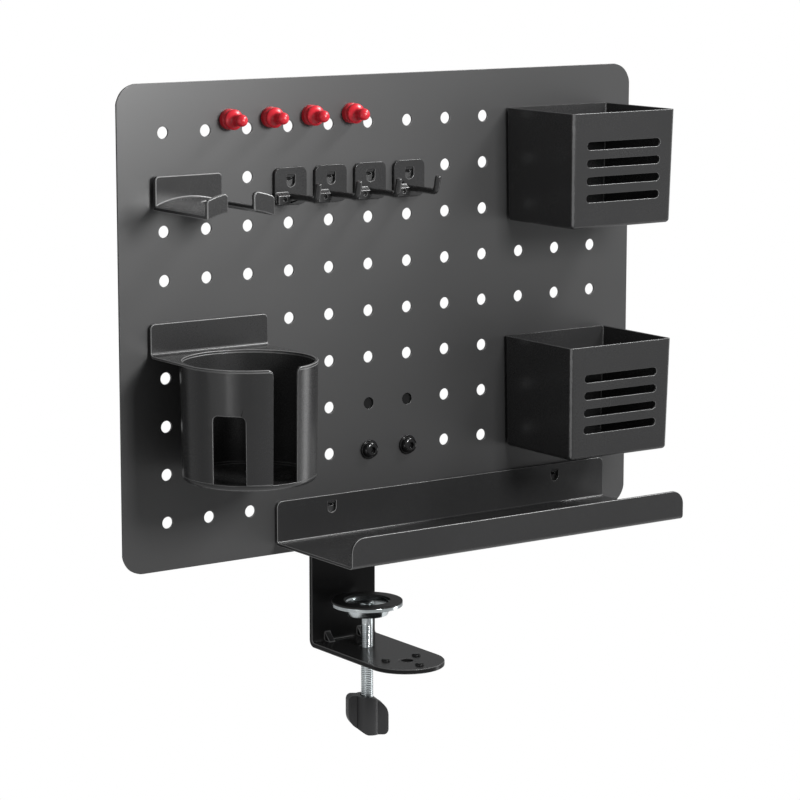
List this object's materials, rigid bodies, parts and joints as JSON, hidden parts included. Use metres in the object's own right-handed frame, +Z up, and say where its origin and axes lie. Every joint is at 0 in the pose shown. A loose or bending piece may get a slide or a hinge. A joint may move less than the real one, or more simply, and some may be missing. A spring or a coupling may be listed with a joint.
{
  "type": "clamp-on pegboard desk organizer",
  "caption": "Perforated metal board that clamps to a desk edge, with hung bins, cup holder, hooks, headphone hanger, tray and push-pin magnets.",
  "frame": {"origin": "centre of the face that rests on the desk top, the underside of the foam pad under the clamp's upper jaw", "axes": "+Z up, +Y from the board back over the desk edge clamp, +X to the right along the board as seen from its front"},
  "size_m": [0.394, 0.1432, 0.4372],
  "materials": {
    "board_coat": "satin dark grey powder coat with fine grain",
    "bracket_coat": "slightly glossy near-black powder coat",
    "accessory_coat": "satin near-black powder coat",
    "foam_black": "fine closed-cell foam",
    "rubber_black": "smooth dark rubber",
    "zinc_steel": "bright zinc plating, slightly bluish",
    "black_screw": "glossy black oxide",
    "knob_plastic": "fine-textured moulded black plastic",
    "magnet_red": "satin red moulded plastic",
    "magnet_core": "nickel-plated magnet"
  },
  "bodies": {
    "frame": {"pegboard_panel": "board_coat", "clamp_bracket": "bracket_coat", "desk_pad": "foam_black", "clamp_weld_nut": "zinc_steel", "spare_flange_nut": "bracket_coat", "board_washers": "black_screw", "board_screws": "black_screw", "board_nuts": "zinc_steel"},
    "clamp_pad": {"pad_cup": "zinc_steel", "pad_ring": "rubber_black"},
    "clamp_screw_and_knob": {"clamp_screw": "zinc_steel", "knob": "knob_plastic"},
    "hanger": {"headphone_hanger": "accessory_coat", "hanger_pegs": "accessory_coat"},
    "cup_holder": {"cup_plate": "accessory_coat", "cup_wall": "accessory_coat", "cup_floor": "accessory_coat", "cup_pegs": "accessory_coat"},
    "bin_upper": {"upper_bin": "accessory_coat"},
    "bin_lower": {"lower_bin": "accessory_coat"},
    "tray": {"shelf_tray": "accessory_coat"},
    "hook_1": {"hook_plate_1": "accessory_coat", "hook_rod_1": "accessory_coat"},
    "hook_2": {"hook_plate_2": "accessory_coat", "hook_rod_2": "accessory_coat"},
    "hook_3": {"hook_plate_3": "accessory_coat", "hook_rod_3": "accessory_coat"},
    "hook_4": {"hook_plate_4": "accessory_coat", "hook_rod_4": "accessory_coat"},
    "magnet_1": {"magnet_grip_1": "magnet_red", "magnet_disc_1": "magnet_core"},
    "magnet_2": {"magnet_grip_2": "magnet_red", "magnet_disc_2": "magnet_core"},
    "magnet_3": {"magnet_grip_3": "magnet_red", "magnet_disc_3": "magnet_core"},
    "magnet_4": {"magnet_grip_4": "magnet_red", "magnet_disc_4": "magnet_core"}
  },
  "joints": [
    {"name": "clamp_feed", "type": "slide", "parent": "frame", "child": "clamp_pad", "axis": [0, 0, 1], "range_m": [-0.021, 0.018]},
    {"name": "screw_spin", "type": "hinge", "parent": "clamp_pad", "child": "clamp_screw_and_knob", "pos_m": [0, -0.004, -0.08], "axis": [0, 0, 1], "range_deg": [-6040, 5180]},
    {"name": "hook_1_lift", "type": "slide", "parent": "frame", "child": "hook_1", "axis": [0, 0, 1], "range_m": [0, 0.0022]},
    {"name": "hook_2_lift", "type": "slide", "parent": "frame", "child": "hook_2", "axis": [0, 0, 1], "range_m": [0, 0.0022]},
    {"name": "hook_3_lift", "type": "slide", "parent": "frame", "child": "hook_3", "axis": [0, 0, 1], "range_m": [0, 0.0022]},
    {"name": "hook_4_lift", "type": "slide", "parent": "frame", "child": "hook_4", "axis": [0, 0, 1], "range_m": [0, 0.0022]},
    {"name": "hanger_lift", "type": "slide", "parent": "frame", "child": "hanger", "axis": [0, 0, 1], "range_m": [0, 0.0022]},
    {"name": "cup_holder_lift", "type": "slide", "parent": "frame", "child": "cup_holder", "axis": [0, 0, 1], "range_m": [0, 0.0022]},
    {"name": "upper_bin_lift", "type": "slide", "parent": "frame", "child": "bin_upper", "axis": [0, 0, 1], "range_m": [0, 0.0022]},
    {"name": "lower_bin_lift", "type": "slide", "parent": "frame", "child": "bin_lower", "axis": [0, 0, 1], "range_m": [0, 0.0022]},
    {"name": "tray_lift", "type": "slide", "parent": "frame", "child": "tray", "axis": [0, 0, 1], "range_m": [0, 0.0022]},
    {"name": "magnet_1_pull", "type": "slide", "parent": "frame", "child": "magnet_1", "axis": [0, -1, 0], "range_m": [0, 0.03]},
    {"name": "magnet_2_pull", "type": "slide", "parent": "frame", "child": "magnet_2", "axis": [0, -1, 0], "range_m": [0, 0.03]},
    {"name": "magnet_3_pull", "type": "slide", "parent": "frame", "child": "magnet_3", "axis": [0, -1, 0], "range_m": [0, 0.03]},
    {"name": "magnet_4_pull", "type": "slide", "parent": "frame", "child": "magnet_4", "axis": [0, -1, 0], "range_m": [0, 0.03]}
  ],
  "couplings": [
    {"joint": "clamp_feed", "follows": "screw_spin", "m_per_rad": 0.00019894}
  ]
}
